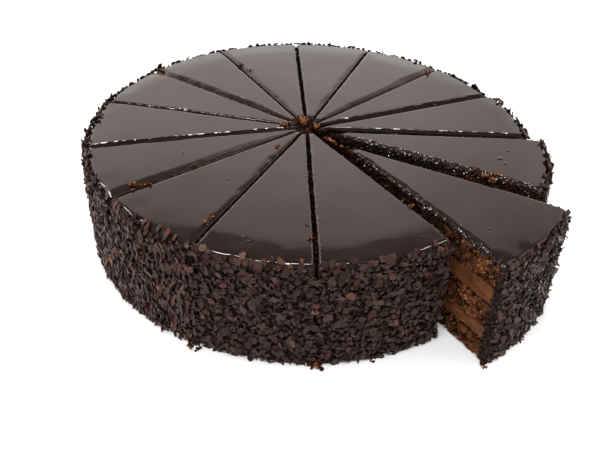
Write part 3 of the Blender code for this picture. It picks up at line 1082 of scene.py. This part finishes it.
# Short ridges of glaze that the knife pushed up along a lip: slice, side, from and to which
# distance from the tip and how far apart in millimetres, rows down the lip, how far they are turned
# from the cut in degrees, and how far their faces tilt from level
RIDGES = (
    (6, 1, 14, 123, 0.6, 1, 0, 49), (7, 1, 76, 122, 2.6, 1, 0, 50), (8, 1, 12, 60, 0.8, 1, -10, 44),
    (12, -1, 10, 34, 0.6, 1, -13, 49), (13, -1, 12, 123, 0.8, 1, 0, 49),
    (14, -1, 16, 121, 0.3, 3, 0, 50),
)
LIP_TOP = 7  # the step of a lip where the glaze begins to sink


def ridge_section(face, tilt):
    """The corners across a ridge, as distances out of the cut and up from the lip."""
    low = 0.06 * MM - face * math.sin(tilt)
    back, top = (-0.12 * MM, -0.10 * MM), (0.0, 0.06 * MM)
    return back, top, (face * math.cos(tilt), low), (0.0, low - 0.25 * MM)


def make_ridges(slices, material):
    heap = Heap(83)
    rng = heap.rng
    for number, side, start, end, apart, rows, turned, facing in RIDGES:
        piece = slices[number - 1]
        out = piece.turn() @ piece.outward(side)
        for row in range(rows):
            at = start
            while at < end:
                long = rng.uniform(0.8, 4.5) / rows
                count = max(3, round(long / 0.7) + 1)
                radius = np.linspace(at, at + long, count) * MM
                at += long + rng.exponential(apart)
                hump = np.sin(math.pi * np.linspace(0, 1, count)) ** 0.5
                face = rng.uniform(0.25, 0.48) * MM * (0.3 + 0.7 * hump)
                tilt = math.radians(facing + rng.uniform(-2.0, 2.0))
                skew = side * math.tan(math.radians(turned + rng.normal(0, 5)))
                top = top_height(radius)
                inside, sunk, _ = lip(piece, side, radius, top)[LIP_TOP - row]
                past = skew * (radius - radius.mean()) - inside
                base = cut_places(piece, side, radius, top - sunk, past)
                base[:, 2] += surface_height(base, radius)
                ring = []
                for across, up in ridge_section(face, tilt)[::side]:
                    offset = np.outer(np.full_like(face, across), out)
                    ring.append(base + offset + np.outer(np.full_like(face, up), UP))
                last = 4 * (count - 1)
                ends = [(0, 1, 2, 3), (last + 3, last + 2, last + 1, last)]
                vertices = np.stack(ring, axis=1).reshape(1, -1, 3)
                heap.add(vertices, grid_faces(count, 4) + ends, np.zeros(4 * count))
    heap.finish("glaze_ridges", material)


# Bubbles and drips in the glaze: angle, distance from the ring's centre and radius in millimetres
BUBBLES = (
    (-152.7, 76.6, 1.5), (-124.2, 72.3, 1.3), (-104.0, 112.8, 0.9), (-102.3, 115.1, 0.8),
    (12.9, 97.6, 0.9), (10.8, 95.7, 0.7), (-42.7, 115.5, 1.2), (-37.3, 133.9, 0.9),
    (-46.8, 124.9, 1.1), (-45.8, 132.2, 1.2), (-14.2, 112.9, 2.4), (-16.5, 116.0, 1.8),
    (-9.1, 117.5, 1.6), (120.0, 66.0, 0.8), (24.0, 88.0, 0.9),
)
TINY_BUBBLES = 30
BUBBLE_SIDES = 10


def make_bubbles(material):
    heap = Heap(81)
    ranges = ((-360, 0), (30, 116), (0.3, 0.6))
    tiny = zip(*(heap.rng.uniform(low, high, TINY_BUBBLES) for low, high in ranges))
    turn = 2 * math.pi * np.arange(BUBBLE_SIDES) / BUBBLE_SIDES
    faces = [(0, 1 + i, 1 + (i + 1) % BUBBLE_SIDES) for i in range(BUBBLE_SIDES)]
    faces += grid_faces(3, BUBBLE_SIDES, 1)
    for degrees, distance, size in (*BUBBLES, *tiny):
        spot = on_ring(degrees, distance)
        rings = [np.zeros((1, 3))]
        for share in (0.35, 0.7, 1.0):
            rings.append(around(share * size * MM, turn, -0.18 * size * MM * share**2))
        top = CAKE_HEIGHT + 0.12 * size * MM + surface_height(spot[None], np.array([0.1]))[0]
        vertices = np.concatenate(rings) + spot + top * UP
        heap.add(vertices[None], faces, np.zeros(len(vertices)))
    heap.finish("glaze_bubbles", material, sharp=80)


# Room, light and camera

def make_floor():
    material, tree, shader = new_material("floor")
    feed(tree, shader, {"Base Color": (0.90, 0.90, 0.90, 1.0), "Roughness": 0.7})
    half = 6.0
    mesh = bpy.data.meshes.new("floor")
    corners = [(-half, -half, 0), (half, -half, 0), (half, half, 0), (-half, half, 0)]
    mesh.from_pydata(corners, [], [(0, 1, 2, 3)])
    mesh.materials.append(material)
    floor = bpy.data.objects.new("floor", mesh)
    bpy.context.scene.collection.objects.link(floor)


# The room behind the cake, from below to above, and the one on the camera's side in greys
BEHIND = (
    (0.00, (0.66, 0.64, 0.63)),
    (0.34, (1.00, 0.97, 0.94)),
    (0.39, (0.90, 0.85, 0.82)),
    (0.45, (0.80, 0.71, 0.69)),
    (0.50, (0.86, 0.76, 0.73)),
    (0.54, (0.80, 0.70, 0.67)),
    (0.58, (0.66, 0.58, 0.55)),
    (0.62, (0.57, 0.50, 0.48)),
    (0.664, (0.50, 0.44, 0.42)),
    (0.674, (0.16, 0.145, 0.14)),
    (0.74, (0.115, 0.105, 0.10)),
    (0.80, (0.09, 0.08, 0.08)),
    (0.86, (0.20, 0.18, 0.17)),
    (1.00, (0.09, 0.08, 0.08)),
)
IN_FRONT = ((0.00, 0.59), (0.20, 0.26), (0.50, 0.08), (1.00, 0.09))


def make_world():
    """A pale room behind the cake, a darker one above it and on the camera's side."""
    world = bpy.data.worlds.new("room")
    world.use_nodes = True
    tree = world.node_tree
    parts = add_node(tree, "SeparateXYZ", {"Vector": add_node(tree, "TexCoord", {})["Generated"]})
    squared = add_math(tree, "MULTIPLY", parts["X"], parts["X"])
    arch = add_range(tree, squared, 0.0, 0.034, 0.0, 0.028)
    behind = add_ramp(tree, add_math(tree, "ADD", arch, parts["Z"]), BEHIND)
    dimmed = {"Vector": behind, "Scale": add_range(tree, parts["X"], 1.0, 0.74, 0.12, 0.26)}
    behind = add_node(tree, "VectorMath", dimmed, operation="SCALE")["Vector"]
    in_front = add_ramp(tree, parts["Z"], [(place, (grey,) * 3) for place, grey in IN_FRONT])
    share = add_range(tree, parts["Y"], 0.0, 1.0, -0.25, 0.15)
    colour = add_mix(tree, share, in_front, behind)
    feed(tree, tree.nodes["Background"], {"Color": colour, "Strength": 1.70})
    bpy.context.scene.world = world


def add_softbox(name, place, target, size, power, mirrored=True):
    """A soft light, which glossy things mirror or not."""
    light = bpy.data.lights.new(name, "AREA")
    light.shape = "RECTANGLE"
    light.size, light.size_y = size
    light.energy = power
    box = bpy.data.objects.new(name, light)
    box.location = place
    box.rotation_euler = (Vector(target) - Vector(place)).to_track_quat("-Z", "Y").to_euler()
    box.visible_glossy = mirrored
    bpy.context.scene.collection.objects.link(box)


def make_camera():
    """The photograph's camera, a little to the left of the cake's middle."""
    data = bpy.data.cameras.new("camera")
    data.sensor_width = 36.0
    data.lens = 43.73
    data.clip_start, data.clip_end = 0.01, 50.0
    camera = bpy.data.objects.new("camera", data)
    yaw, pitch, roll = (math.radians(degrees) for degrees in (-1.0, 36.55, 1.75))
    ahead = math.cos(pitch)
    forward = Vector((math.sin(yaw) * ahead, math.cos(yaw) * ahead, -math.sin(pitch)))
    level = forward.cross(Vector((0, 0, 1))).normalized()
    above = level.cross(forward)
    right = level * math.cos(roll) + above * math.sin(roll)
    up = above * math.cos(roll) - level * math.sin(roll)
    turn = Matrix((right, up, -forward)).transposed()
    place = (CENTRE_X + 0.0044, -0.3832, CAKE_HEIGHT + 0.2113)
    camera.matrix_world = Matrix.Translation(place) @ turn.to_4x4()
    bpy.context.scene.collection.objects.link(camera)
    bpy.context.scene.camera = camera


def main():
    slices = slice_list()
    make_camera()
    glaze, bed, flake = glaze_material(), bed_material(), flake_material()
    sponge, cream = sponge_material(), cream_material()
    for piece in slices:
        make_glaze(piece, glaze, bed)
        if piece.number in OPEN_SLICES:
            for index in range(len(LAYERS)):
                make_layer(piece, index, sponge if LAYERS[index][2] else cream)
        else:
            make_closed_cake(piece, sponge, cream)
    make_flakes(slices, flake)
    make_crumbs(sponge)
    make_middle(slices, sponge)
    make_cut_fill(slices, sponge)
    make_face_crumbs(slices, sponge)
    make_smears(slices, glaze)
    make_ridges(slices, glaze)
    make_bubbles(glaze)
    make_floor()
    make_world()
    add_softbox("key", (-0.15, -0.75, 1.10), (0, 0, 0.05), (1.3, 0.09), 13.0)
    add_softbox("left", (-1.10, 0.25, 0.85), (0, 0, 0.05), (0.9, 0.12), 5.0)
    add_softbox("right", (0.90, -0.05, 1.15), (0, 0, 0.05), (0.6, 0.10), 3.0)
    add_softbox("overhead", (0.1, 0.0, 1.6), (0, 0, 0), (1.6, 1.6), 20.0, mirrored=False)
    bpy.context.scene.view_settings.view_transform = "Standard"


main()
